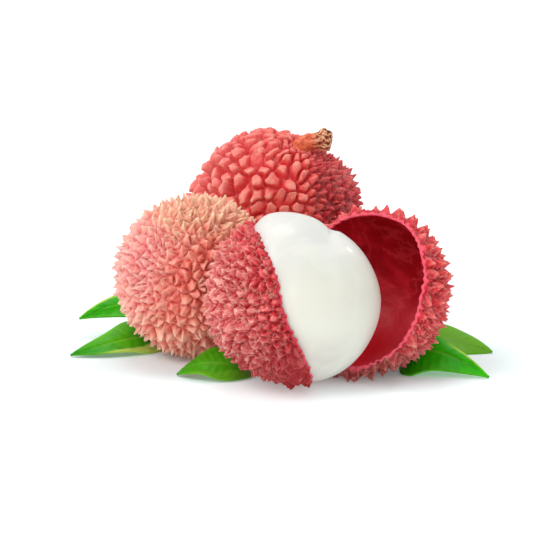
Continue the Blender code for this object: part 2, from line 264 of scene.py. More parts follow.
def look_up_cells(ways, seats, long_way=None, stretch=0.0, neighbours=8):
    """For each direction, what it needs to know about the tubercle it is on.

    own: the tubercle's number. climb: 0 in the groove round it and 1 at its tip. ridge: 1 along
    the edges between its sides. corner: 1 where three tubercles meet. groove: angle to the groove.
    With stretch above 0, tubercles are drawn out along long_way.
    """
    own = np.empty(len(ways), int)
    climb, ridge, corner, groove = np.empty((4, len(ways)))
    spacing2 = 4 * math.pi / len(seats)
    for start in range(0, len(ways), 6000):
        some = slice(start, start + 6000)
        far2 = 2 - 2 * ways[some] @ seats.T
        if long_way is not None:
            drawn = (long_way[some] @ seats.T) ** 2 * np.reshape(stretch, (-1, 1))[some]
            far2 = far2 - drawn
        near = np.argpartition(far2, neighbours, axis=1)[:, :neighbours]
        far2 = np.take_along_axis(far2, near, 1)
        order = np.argsort(far2, axis=1)
        near = np.take_along_axis(near, order, 1)
        far2 = np.take_along_axis(far2, order, 1)
        apart = seats[near[:, 1:]] - seats[near[:, 0]][:, None]
        apart2 = (apart**2).sum(2)
        if long_way is not None:
            drawn = (apart * long_way[some][:, None]).sum(2) ** 2
            apart2 = apart2 - drawn * np.reshape(stretch, (-1, 1))[some]
        gain = far2[:, 1:] - far2[:, :1]
        share = gain / apart2
        lowest = np.partition(share, 1, axis=1)
        own[some] = near[:, 0]
        climb[some] = lowest[:, 0]
        ridge[some] = lowest[:, 1] - lowest[:, 0]
        corner[some] = (far2[:, 2] - far2[:, 0]) / spacing2
        groove[some] = (gain / (2 * np.sqrt(apart2))).min(1)
    return {
        "own": own,
        "climb": np.clip(climb, 0, 1),
        "ridge": 1 - np.clip(ridge / 0.3, 0, 1),
        "corner": 1 - np.clip(corner / 0.45, 0, 1),
        "groove": groove,
    }


def raise_skin(
    ways,
    form,
    seats,
    height,
    seed,
    blunt,
    sharp=1.9,
    star=0.42,
    lean=0.38 * MM,
    knobby=0.0,
    wander=0.024,
    tilt=0.0,
    rough=0.30 * MM,
    narrow=0.0,
    long_way=None,
    stretch=None,
    sink=0.0,
    rays=0.12 * MM,
):
    """Raises tubercles on a form. blunt is 0 where they are pointed and 1 where they are domed.

    sharp: how steeply they rise to a point. star: how far the edges between their sides stand
    out. lean: how far a tip leans to one side. knobby: 1 where they are flat-topped, there with
    tilt for slanting tops and narrow for slimmer ones. wander: how far the grooves stray. rough:
    the height of small crumpled ridges. rays: the height of fine ridges that run down from each
    tip. sink lowers the grooves, so that taller tubercles don't make the fruit larger.

    Returns the points, and what the finish needs to know about each.
    """
    rng = np.random.default_rng(seed)
    count = len(seats)
    strayed = drift(ways, wander, 14, seed + 50) + drift(ways, wander * 0.45, 45, seed + 51)
    moved = unit(ways + strayed)
    if stretch is None:
        cells = look_up_cells(moved, seats)
    else:
        cells = look_up_cells(moved, seats, long_way, stretch * np.ones(len(ways)))
    own, climb, ridge, corner = cells["own"], cells["climb"], cells["ridge"], cells["corner"]
    tall = height * rng.uniform(0.68, 1.15, count)[own]
    power = rng.uniform(sharp - 0.4, sharp + 0.4, count)[own]
    pointed = climb**power + star * ridge**1.5 * climb**0.8 * (1 - climb)
    pointed += 0.20 * corner**1.4 * (1 - climb) ** 2
    domed = 0.8 * (1 - (1 - climb) ** 2.6) * (1 - 0.12 * climb**2)
    rise = pointed * (1 - blunt) + domed * blunt
    shoulder = rng.uniform(0.30, 0.48, count)[own] - 0.17 * narrow
    flat = np.clip((climb - 0.04 - 0.24 * narrow) / shoulder, 0, 1) ** 1.25
    flat *= 0.80 + 0.20 * climb
    side = rng.normal(0, 1, (count, 3))
    side -= (side * seats).sum(1, keepdims=True) * seats
    size = math.sqrt(4 * math.pi / count)
    slope = ((moved - seats[own]) * side[own]).sum(1) / size
    flat = flat * (1 + tilt * np.clip(slope, -1, 1))
    rise = rise * (1 - knobby) + flat * knobby
    reach = form(ways) - sink + tall * rise
    uneven = drift(ways, 0.04 * MM, 70, seed + 52) + drift(ways, 0.16 * MM, 9, seed + 53)
    reach += uneven[:, 0]
    jag = 0.6 * crumple(ways, 62, seed + 54) + 0.4 * crumple(ways, 120, seed + 55)
    reach += rough * (jag - 0.4) * (0.35 + 0.65 * np.clip(rise, 0, 1))
    other = np.cross(seats, side)
    from_seat = moved - seats[own]
    round_tip = np.arctan2((from_seat * other[own]).sum(1), (from_seat * side[own]).sum(1))
    bent = rng.uniform(0, 6.3, count)[own] + 6 * climb * rng.normal(0, 0.3, count)[own]
    ray = (0.5 + 0.5 * np.cos(rng.integers(5, 9, count)[own] * round_tip + bent)) ** 3
    ray *= ease(0.0, 0.22, climb) * (1 - climb) ** 0.7
    reach += rays * ray
    rows = ways * reach[:, None] + side[own] * lean * (climb**1.5)[:, None]
    flare = (0.14 + 0.2 * narrow) * knobby * np.clip(rise, 0, 1.2) ** 2
    rows += from_seat * reach[:, None] * np.reshape(flare, (-1, 1))
    return rows, {
        "rise": np.clip(rise, 0, 1.2),
        "ridge": ridge,
        "corner": corner,
        "jag": jag,
        "ray": ray,
        "crease": np.exp(-cells["groove"] * 17 / 0.16),
        "own_shade": rng.uniform(0, 1, count)[own],
    }


# ---------------------------------------------------------------- the two peel halves


def torn_line(turn, waves, nicks, seed):
    """How the torn edge wanders in and out as it goes round, long waves and small nicks."""
    rng = np.random.default_rng(seed)
    wander = sum(size * np.sin(count * turn + phase) for count, size, phase in waves)
    for count in rng.integers(14, 75, 24):
        wander = wander + rng.normal(0, nicks) * np.sin(count * turn + rng.uniform(0, 6.3))
    return wander


def peel_half(
    name, centre, axis, edge, form, inside, seats, height, sink, seed, blunt, lip_wall, **more
):
    """A cup of peel: tubercles outside, a torn lip, and a smooth lining.

    axis points out of its mouth, and edge says how far along axis the lip lies on each side.
    """
    around, outer, lip, inner = 500, 132, 5, 36
    rows_in_all = outer + lip + inner
    sheet, column, row = blank_sheet(name, around, rows_in_all)
    turn = 2 * math.pi * column
    step = np.rint(row * rows_in_all)
    frame_turn = np.array(axis.to_track_quat("Z", "Y").to_matrix())

    def way(polar):
        local = np.stack(
            [np.sin(polar) * np.cos(turn), np.sin(polar) * np.sin(turn), -np.cos(polar)], 1
        )
        return local @ frame_turn.T

    mean = float(np.mean(form(way(np.full(len(turn), 1.5)))))
    edge_polar = np.arccos(np.clip(-edge(turn, way(np.full(len(turn), 1.5))) / mean, -1, 1))
    edge_way = way(edge_polar)
    edge_wall = lip_wall * np.clip(1 + torn_line(turn, (), 0.13, seed + 5), 0.5, 1.7)

    outer_polar = edge_polar * np.clip(step / outer, 1e-5, 1)
    outer_way = way(outer_polar)
    from_edge = (edge_polar - outer_polar) * mean / MM
    outside, notes = raise_skin(
        outer_way, form, seats, height(outer_way), seed, blunt, sink=sink(outer_way), **more
    )
    calm = ease(-0.05, 0.45, from_edge)
    thinned = inside(outer_way) + edge_wall
    thinned += (form(outer_way) - thinned) * ease(0.0, 1.2, from_edge)
    bare = outer_way * thinned[:, None]
    outside = outside * calm[:, None] + bare * (1 - calm)[:, None]
    outside -= outer_way * ((form(outer_way) - thinned) * calm)[:, None]

    inner_polar = edge_polar * np.clip((rows_in_all - step) / inner, 1e-5, 1)
    inner_way = way(inner_polar)
    inward = (edge_polar - inner_polar) * mean / MM
    folds = drift(inner_way, 0.30 * MM, 7, seed + 70) + drift(inner_way, 0.10 * MM, 22, seed + 71)
    folds = np.abs(folds[:, 0]) * ease(0.3, 3.0, inward)
    lining = inner_way * (inside(inner_way) - folds)[:, None]

    across = np.clip((step - outer) / lip, 0, 1)
    rolled = np.array(axis) * (0.16 * MM * np.sin(math.pi * across))[:, None]
    rim = edge_way * (inside(edge_way) + edge_wall * (1 - across))[:, None] + rolled
    on_outer, on_lining = step <= outer, step >= outer + lip
    rows = np.where(on_outer[:, None], outside, np.where(on_lining[:, None], lining, rim))
    for key in ("rise", "ridge", "corner", "crease", "jag", "ray"):
        notes[key] = np.where(on_outer, notes[key] * calm, 0)
    beside = np.where(on_outer, 1 - ease(0.0, 0.35, from_edge), 1 - ease(0.0, 0.3, inward))
    notes["rim"] = np.where(~on_outer & ~on_lining, 1, beside)
    notes["lining"] = np.where(on_outer, 0, np.where(on_lining, 1, across))
    notes["near_edge"] = np.where(on_outer, 1 - ease(1.0, 9.0, from_edge), 1)
    notes["bloom"] = facing(outer_way, (-0.62, -0.55, 0.42), -0.2, 0.75)
    set_down(sheet, rows, centre, notes)
    close_seams(sheet)
    return sheet


# ---------------------------------------------------------------- the flesh

FLESH_RADIUS = 16.0 * MM
UPPER_LOBE, UPPER_LOBE_RADIUS = np.array([-3.1, 0, 1.35]) * MM, 15.4 * MM
RIGHT_LOBE, RIGHT_LOBE_RADIUS = np.array([0.1, 0, -0.8]) * MM, 15.7 * MM
CREASE_TOP = unit(np.array([0.50, -0.05, 0.86]))
# Waves in the flesh: how many, along which way, and where each starts (radians)
FLESH_WAVES = (
    (6, (0.9, 0.3, 0.2), 0.3),
    (9, (0.1, 0.8, 0.6), 1.9),
    (7, (-0.4, 0.2, 0.9), 4.0),
)
FLESH_SWELL = 0.05 * MM


def ball_reach(ways, middle, radius):
    along = ways @ middle
    return along + np.sqrt(radius**2 - middle @ middle + along**2)


def flesh_reach(ways):
    """Two soft lobes that meet in a crease, deepest at the top."""
    upper = ball_reach(ways, UPPER_LOBE, UPPER_LOBE_RADIUS)
    right = ball_reach(ways, RIGHT_LOBE, RIGHT_LOBE_RADIUS)
    near_top = np.maximum(0, ways @ CREASE_TOP) ** 6
    softness = (1.6 - 1.2 * near_top) * MM
    larger, smaller = np.maximum(upper, right), np.minimum(upper, right)
    blend = np.maximum(softness - (larger - smaller), 0) / softness
    reach = larger + blend**2 * softness / 4 - 0.7 * MM * near_top * blend
    bare = np.clip(2.5 * (ways @ np.array(OPENED_AXIS) + 0.31), 0, 1)
    limit = FLESH_RADIUS + bare * 2.6 * MM
    return (reach + limit - np.sqrt((reach - limit) ** 2 + (0.6 * MM) ** 2)) / 2


def make_flesh(paint):
    ball = even_ball("flesh_skin", 3)
    ways = points_of(ball)
    swell = sum(
        FLESH_SWELL * np.sin(count * (ways @ unit(np.array(way))) + start)
        for count, way, start in FLESH_WAVES
    )
    rows = ways * (flesh_reach(ways) + swell - FLESH_SWELL)[:, None]
    rows[:, 1] *= OPENED_DEPTH
    move_points(ball, rows + OPENED_CENTRE)
    return finish_piece(ball, paint, "flesh")


# ---------------------------------------------------------------- the stalk

# Distance from the seat, sideways drift and radius (mm)
STALK_RINGS = np.array(
    (
        (-0.3, -0.1, 2.4),
        (0.4, -0.2, 2.25),
        (1.3, -0.05, 2.15),
        (2.1, 0.5, 1.9),
        (2.6, 1.4, 1.8),
        (3.15, 2.55, 2.0),
        (3.55, 3.6, 2.3),
        (3.8, 4.45, 2.2),
        (3.95, 5.0, 1.55),
        (4.0, 5.35, 0.0),
    )
)


def through(values, share):
    """Values between rings, on a smooth curve through them."""
    last = len(values) - 1
    place = np.clip(share * last, 0, last - 1e-6)
    low = place.astype(int)
    t = place - low
    before, here = values[np.maximum(low - 1, 0)], values[low]
    after, beyond = values[low + 1], values[np.minimum(low + 2, last)]
    return 0.5 * (
        2 * here
        + (after - before) * t
        + (2 * before - 5 * here + 4 * after - beyond) * t**2
        + (3 * here - before - 3 * after + beyond) * t**3
    )


def make_stalk(paint, seat):
    sheet, column, row = blank_sheet("stalk", 84, 110)
    lean = unit(np.array([1, -0.1, -0.25]))
    axis = BACK_STALK_AXIS

    def centre_line(share):
        ahead = through(STALK_RINGS[:, 0], share)[:, None] * axis
        return (ahead + through(STALK_RINGS[:, 1], share)[:, None] * lean) * MM + seat

    middle = centre_line(row)
    onward = unit(centre_line(np.clip(row + 0.01, 0, 1)) - centre_line(np.clip(row - 0.01, 0, 1)))
    side = unit(np.cross(onward, np.cross(axis, lean)))
    other = np.cross(onward, side)
    turn = 2 * math.pi * column
    out = side * np.cos(turn)[:, None] + other * np.sin(turn)[:, None]
    head = ease(0.40, 0.60, row)
    rows = middle + out * (np.maximum(through(STALK_RINGS[:, 2], row), 0) * MM)[:, None]
    rough = np.array([noise.fractal(Vector(p) * 900, 0.8, 2.1, 4) for p in rows])
    lumps = np.array([1 - noise.voronoi(Vector(p) * 1100)[0][0] for p in rows])
    fibre = 0.5 + 0.5 * np.cos(9 * turn + 4 * rough)
    push = rough * (0.10 + 0.45 * head) + (fibre - 0.5) * (0.12 + 0.06 * head)
    push += (lumps - 0.6) * 0.5 * head
    taper = ease(1.0, 0.97, row)
    rows += out * (push * taper * MM)[:, None]
    rows += onward * (head * ease(0.85, 1.0, row) * rough * 0.5 * MM)[:, None]
    move_points(sheet, rows)
    note_on(sheet, {"head": head, "fibre": fibre})
    close_seams(sheet)
    return finish_piece(sheet, paint, "stalk_stub")


# ---------------------------------------------------------------- leaves

# Base, bend and tip of each midrib (mm)
LEAF_RIBS = {
    "leaf_left_low": ((-27.8, 38.6, 1.1), (-33.4, 24.0, 5.2), (-46.9, 22.9, 0.7)),
    "leaf_left_high": ((-23.6, 49.4, 1.0), (-31.7, 44.7, 11.5), (-46.8, 39.7, 4.8)),
    "leaf_front": ((-8.6, 8.5, 0.9), (-18.8, 4.6, 5.9), (-24.1, 8.2, 0.6)),
    "leaf_right_low": ((21.5, 16.7, 0.9), (25.5, 13.6, 7.0), (37.7, 6.1, 0.0)),
    "leaf_right_high": ((20.5, 36.4, 1.4), (28.5, 29.8, 3.8), (40.7, 26.2, 0.8)),
}
# Width of the near and the far half (mm), their folds (degrees), and where along the leaf it is
# widest
LEAF_BLADES = {
    "leaf_left_low": (5.3, 5.2, -34, 40, 0.32),
    "leaf_left_high": (5.2, 4.8, -66, 46, 0.40),
    "leaf_front": (4.1, 6.1, -31, 25, 0.36),
    "leaf_right_low": (7.7, 4.0, -34, 48, 0.31),
    "leaf_right_high": (5.6, 6.5, -21, 22, 0.48),
}
# How pale the near half is towards the base, how strong the painted highlight along the far
# half's edge is, how bright and how olive the whole leaf is, and how far its near edge droops
# towards the base and the tip (mm)
LEAF_TONES = {
    "leaf_left_low": (0.9, 0.0, 0.0, 0.0, 0.7, 0.3),
    "leaf_left_high": (0.0, 0.8, 0.4, 0.0, 0.5, 0.0),
    "leaf_front": (0.1, 0.0, 0.0, 0.15, 0.9, 0.4),
    "leaf_right_low": (0.0, 1.0, 1.0, 0.0, 1.1, 0.6),
    "leaf_right_high": (0.0, 0.0, 0.2, 0.75, 2.0, 1.5),
}
LEAF_THICKNESS = 0.32 * MM


def leaf_width(along, widest_at):
    power = math.log(0.5) / math.log(widest_at)
    blade = np.sin(math.pi * np.clip(along, 1e-6, 1) ** power).clip(0) ** 0.85 * (1 - 0.1 * along)
    return np.maximum(blade, np.where(along < 0.5, 0.10, 0.02))


def make_leaf(name, paint):
    """A blade folded along its midrib, waved and veined. Its near half is the one towards -Y."""
    base, bend, tip = (np.array(place) * MM for place in LEAF_RIBS[name])
    near_width, far_width, near_fold, far_fold, widest_at = LEAF_BLADES[name]
    near_pale, far_pale, fresh, olive, base_droop, tip_droop = LEAF_TONES[name]
    sheet, column, row = blank_sheet(name + "_blade", 36, 96)

    def midrib(t):
        t = np.clip(t, 0, 1)[:, None]
        return base * (1 - t) ** 2 + bend * 2 * t * (1 - t) + tip * t**2

    ahead = unit(midrib(row + 0.02) - midrib(row - 0.02))
    side = unit(np.cross(ahead, [0, 0, 1]))
    side *= np.where(side[:, 1:2] > 0, -1, 1)
    lift = unit(np.cross(side, ahead))
    lift *= np.where(lift[:, 2:3] < 0, -1, 1)
    across = 2 * column - 1
    near = across > 0
    spread = np.abs(across)
    reach = np.where(near, near_width, far_width) * MM * leaf_width(row, widest_at) * spread
    fold = np.radians(np.where(near, near_fold, far_fold)) * (1 - 0.35 * spread)
    wave = 0.25 * MM * np.sin(9.7 * row + 2 * across) * spread * np.sin(math.pi * row)
    vein_place = row * 11 - spread * 1.5 * (1 - 0.3 * row) + 0.25 * near
    vein = 1 - ease(0.0, 0.16, np.abs(vein_place - np.rint(vein_place)))
    vein *= ease(0.02, 0.10, row) * (1 - ease(0.90, 0.99, row)) * (1 - 0.6 * spread)
    rib = 1 - ease(0.0, 0.085, spread)
    pillow = 0.05 * MM * np.cos(2 * math.pi * vein_place) * np.sin(math.pi * spread)
    wave = wave - pillow - 0.16 * MM * rib
    rows = midrib(row) + side * (np.copysign(1, across) * reach * np.cos(fold))[:, None]
    rows += lift * (reach * np.sin(fold) + wave)[:, None]
    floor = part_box(name)[0].z + LEAF_THICKNESS * 0.6
    rows[:, 2] += floor - rows[:, 2].min()
    droop = base_droop + (tip_droop - base_droop) * ease(0.35, 0.65, row)
    rows[:, 2] -= np.where(near, droop * MM * spread**1.5 * np.sin(math.pi * row), 0)
    rows[:, 2] = np.maximum(rows[:, 2], floor)
    move_points(sheet, rows)
    # Painted highlight: a pale strip along the far half's edge towards the tip.
    strip = far_pale * ease(0.5, 0.8, row) * ease(0.6, 0.85, spread)
    low_edge = near_pale * ease(-0.06, 0.06, spread - 0.1 - 1.05 * row) * ease(0.85, 0.6, row)
    same = np.ones(len(row))
    note_on(sheet, {"vein": vein, "rib": rib, "from_rib": spread, "along": row})
    note_on(sheet, {"pale": np.where(near, low_edge, strip)})
    note_on(sheet, {"fresh": fresh * same, "olive": olive * same})
    start_clean()
    bpy.context.view_layer.objects.active = sheet
    sheet.select_set(True)
    solid = sheet.modifiers.new("blade thickness", "SOLIDIFY")
    solid.thickness = LEAF_THICKNESS
    solid.offset = 0
    bpy.ops.object.modifier_apply(modifier=solid.name)
    bpy.ops.object.mode_set(mode="EDIT")
    bpy.ops.mesh.select_all(action="SELECT")
    bpy.ops.mesh.normals_make_consistent(inside=False)
    bpy.ops.object.mode_set(mode="OBJECT")
    return finish_piece(sheet, paint, name)


# ---------------------------------------------------------------- finishes


def shade_of(red, green, blue):
    """A screen colour (0 to 255) as the shader's own linear colour."""
    return tuple(
        c / 12.92 if c <= 0.04045 else ((c + 0.055) / 1.055) ** 2.4
        for c in (red / 255, green / 255, blue / 255)
    ) + (1.0,)


class Finish:
    """One material and the few moves that make it."""

    def __init__(self, name, roughness, specular=0.5):
        self.paint = bpy.data.materials.new(name)
        self.paint.use_nodes = True
        self.tree = self.paint.node_tree
        self.shader = self.tree.nodes["Principled BSDF"]
        self.shader.inputs["Roughness"].default_value = roughness
        self.shader.inputs["Specular IOR Level"].default_value = specular

    def node(self, kind, **settings):
        made = self.tree.nodes.new(kind)
        for key, value in settings.items():
            setattr(made, key, value)
        return made

    def join(self, source, target):
        self.tree.links.new(source, target)

    def put(self, socket, value):
        if isinstance(value, bpy.types.NodeSocket):
            self.join(value, socket)
        else:
            socket.default_value = value

    def read(self, name):
        return self.node("ShaderNodeAttribute", attribute_name=name).outputs["Fac"]

    def place(self):
        return self.node("ShaderNodeTexCoord").outputs["Object"]

    def grain(self, scale, detail=3.0, roughness=0.55, distortion=0.0, stretch=None):
        made = self.node("ShaderNodeTexNoise")
        made.inputs["Scale"].default_value = scale
        made.inputs["Detail"].default_value = detail
        made.inputs["Roughness"].default_value = roughness
        made.inputs["Distortion"].default_value = distortion
        if stretch is None:
            self.join(self.place(), made.inputs["Vector"])
        else:
            turned = self.node("ShaderNodeMapping")
            turned.inputs["Scale"].default_value = stretch
            self.join(self.place(), turned.inputs["Vector"])
            self.join(turned.outputs["Vector"], made.inputs["Vector"])
        return made.outputs["Fac"]

    def span(self, value, low, high, to_low=0.0, to_high=1.0):
        made = self.node("ShaderNodeMapRange", interpolation_type="SMOOTHSTEP")
        self.put(made.inputs["Value"], value)
        made.inputs["From Min"].default_value = low
        made.inputs["From Max"].default_value = high
        made.inputs["To Min"].default_value = to_low
        made.inputs["To Max"].default_value = to_high
        return made.outputs["Result"]

    def math(self, operation, first, second):
        made = self.node("ShaderNodeMath", operation=operation)
        self.put(made.inputs[0], first)
        self.put(made.inputs[1], second)
        return made.outputs[0]

    def times(self, first, second):
        return self.math("MULTIPLY", first, second)

    def plus(self, first, second):
        return self.math("ADD", first, second)

    def minus(self, first, second):
        return self.math("SUBTRACT", first, second)

    def unless(self, value):
        """1 where the value is 0, and the other way round."""
        return self.minus(1.0, value)

    def toward(self, way):
        """How far each point lies along a direction, in metres."""
        made = self.node("ShaderNodeVectorMath", operation="DOT_PRODUCT")
        self.join(self.place(), made.inputs[0])
        made.inputs[1].default_value = Vector(way).normalized()
        return made.outputs["Value"]

    def blend(self, share, first, second):
        """first where share is 0 and second where it is 1."""
        made = self.node("ShaderNodeMix", data_type="RGBA")
        self.put(made.inputs[0], share)
        self.put(made.inputs[6], first)
        self.put(made.inputs[7], second)
        return made.outputs[2]

    def ramp(self, value, *stops):
        made = self.node("ShaderNodeValToRGB")
        self.put(made.inputs["Fac"], value)
        bar = made.color_ramp.elements
        while len(bar) < len(stops):
            bar.new(0.5)
        for stop, (at, colour) in zip(bar, stops):
            stop.position = at
            stop.color = colour
        return made.outputs["Color"]

    def glints_and_mottle(self, colour, amount):
        """Painted highlights, pale along the little ridges and in fine light specks, over fine
        dark mottling.
        """
        pale = self.span(self.read("jag"), 0.55, 0.95)
        pale = self.times(pale, self.span(self.grain(500, 3), 0.35, 0.6))
        pale = self.times(pale, self.times(amount, 1.3))
        colour = self.blend(pale, colour, shade_of(255, 206, 188))
        fine = self.grain(950, 4, 0.65)
        light = self.times(self.span(fine, 0.50, 0.72), amount)
        colour = self.blend(light, colour, shade_of(255, 214, 198))
        dark = self.times(self.span(fine, 0.47, 0.30), amount)
        return self.blend(dark, colour, shade_of(150, 20, 32))

    def bump(self, height, strength, distance):
        made = self.node("ShaderNodeBump")
        made.inputs["Strength"].default_value = strength
        made.inputs["Distance"].default_value = distance
        self.join(height, made.inputs["Height"])
        self.join(made.outputs["Normal"], self.shader.inputs["Normal"])

    def colour(self, source):
        self.join(source, self.shader.inputs["Base Color"])


def soft_inside(finish, weight, radius, scale):
    finish.shader.inputs["Subsurface Weight"].default_value = weight
    finish.shader.inputs["Subsurface Radius"].default_value = radius
    finish.shader.inputs["Subsurface Scale"].default_value = scale


def left_skin():
    f = Finish("peach pink lychee skin", 0.55, 0.4)
    rise, crease = f.read("rise"), f.read("crease")
    # These ramps over rise keep the skin's own hues, but paint the grooves darker and the tips
    # paler: painted shade and painted light.
    coral = f.ramp(
        rise,
        (0.0, shade_of(210, 64, 58)),
        (0.11, shade_of(238, 122, 104)),
        (0.34, shade_of(250, 172, 148)),
        (0.9, shade_of(252, 206, 180)),
    )
    pink = f.ramp(
        rise,
        (0.0, shade_of(222, 104, 114)),
        (0.13, shade_of(246, 160, 158)),
        (0.9, shade_of(254, 206, 198)),
    )
    sandy = f.ramp(
        rise,
        (0.0, shade_of(210, 120, 90)),
        (0.13, shade_of(242, 178, 144)),
        (0.9, shade_of(252, 224, 182)),
    )
    cloud = f.grain(95, 3)
    leftward = f.plus(f.toward((-0.8, -0.1, 0.6)), f.times(cloud, 0.014))
    upper_left = f.span(leftward, 0.034, 0.045, 0, 0.9)
    mixed = f.blend(upper_left, coral, pink)
    top = f.plus(f.toward((0.12, -0.15, 1)), f.times(cloud, 0.012))
    mixed = f.blend(f.span(top, 0.023, 0.034), mixed, sandy)
    pit = f.times(f.span(f.grain(420, 2), 0.60, 0.68), upper_left)
    mixed = f.blend(f.times(pit, 0.5), mixed, shade_of(206, 84, 104))
    low = f.span(f.toward((0.35, -0.5, -1)), -0.020, 0.012)
    mixed = f.blend(f.times(low, 0.15), mixed, shade_of(236, 112, 94))
    bulge = f.plus(f.toward((0.2, -0.97, 0.05)), f.times(cloud, 0.006))
    bulge = f.span(bulge, -0.0150, -0.0110)
    mixed = f.blend(f.times(bulge, 0.55), mixed, shade_of(232, 88, 76))
    # Painted shade: the creases between tubercles are darkened, a little more on the front bulge.
    depth = f.times(crease, f.plus(f.times(bulge, 0.3), 0.65))
    mixed = f.blend(depth, mixed, shade_of(182, 40, 40))
    own = f.read("own_shade")
    mixed = f.blend(f.span(own, 0.55, 1.0, 0, 0.35), mixed, shade_of(252, 190, 164))
    mixed = f.blend(f.span(own, 0.0, 0.3, 0.28, 0), mixed, shade_of(226, 92, 88))
    speck = f.times(f.span(f.grain(700, 3), 0.56, 0.66), f.span(top, 0.020, 0.034, 0.3, 1))
    mixed = f.blend(f.times(speck, 0.6), mixed, shade_of(176, 96, 66))
    mixed = f.glints_and_mottle(mixed, 0.30)
    f.colour(mixed)
    f.bump(f.grain(2200, 5), 0.5, 0.00016)
    soft_inside(f, 0.25, (1.0, 0.4, 0.3), 0.0012)
    return f.paint


def back_skin():
    f = Finish("coral red lychee skin", 0.45, 0.3)
    rise, crease = f.read("rise"), f.read("crease")
    # This ramp over rise keeps the skin's own red, but paints the grooves darker and the knob tops
    # paler: painted shade and painted light.
    red = f.ramp(
        rise,
        (0.0, shade_of(220, 46, 54)),
        (0.35, shade_of(232, 68, 70)),
        (0.75, shade_of(240, 104, 96)),
        (1.0, shade_of(250, 154, 138)),
    )
    # Painted shade: the darker red of the right shoulder, blended in through right_side and a
    # cloud.
    shaded_red = f.ramp(
        rise,
        (0.0, shade_of(138, 14, 26)),
        (0.25, shade_of(184, 32, 46)),
        (0.9, shade_of(216, 78, 82)),
    )
    cloud = f.grain(90, 3)
    right = f.plus(f.read("right_side"), f.times(f.minus(cloud, 0.5), 0.6))
    leftward = f.span(f.toward((-1, 0, 0.1)), 0.006, 0.026, 0, 0.45)
    red = f.blend(leftward, red, shade_of(236, 138, 138))
    # Painted shade: the top of the fruit is darkened a little.
    red = f.blend(f.span(f.toward((0, 0, 1)), 0.034, 0.042, 0, 0.3), red, shade_of(204, 60, 66))
    # Painted shade on the right shoulder.
    mixed = f.blend(f.span(right, 0.1, 0.9), red, shaded_red)
    # Painted shade: the grooves are darkened, darkest where three knobs meet.
    mixed = f.blend(f.times(crease, 0.2), mixed, shade_of(172, 18, 32))
    mixed = f.blend(f.times(f.read("corner"), f.times(crease, 0.5)), mixed, shade_of(120, 20, 26))
    own = f.read("own_shade")
    mixed = f.blend(f.span(own, 0.45, 1.0, 0, 0.4), mixed, shade_of(246, 132, 120))
    patch = f.grain(420, 4, 0.6)
    mixed = f.blend(f.span(patch, 0.46, 0.70, 0, 0.35), mixed, shade_of(216, 56, 64))
    speck = f.times(f.span(f.grain(1300, 2), 0.62, 0.70), f.span(rise, 0.5, 0.9))
    mixed = f.blend(f.times(speck, 0.7), mixed, shade_of(236, 184, 158))
    mixed = f.glints_and_mottle(mixed, 0.17)
    f.colour(mixed)
    f.bump(f.grain(1500, 5), 0.5, 0.0002)
    soft_inside(f, 0.28, (1.0, 0.25, 0.2), 0.0014)
    return f.paint


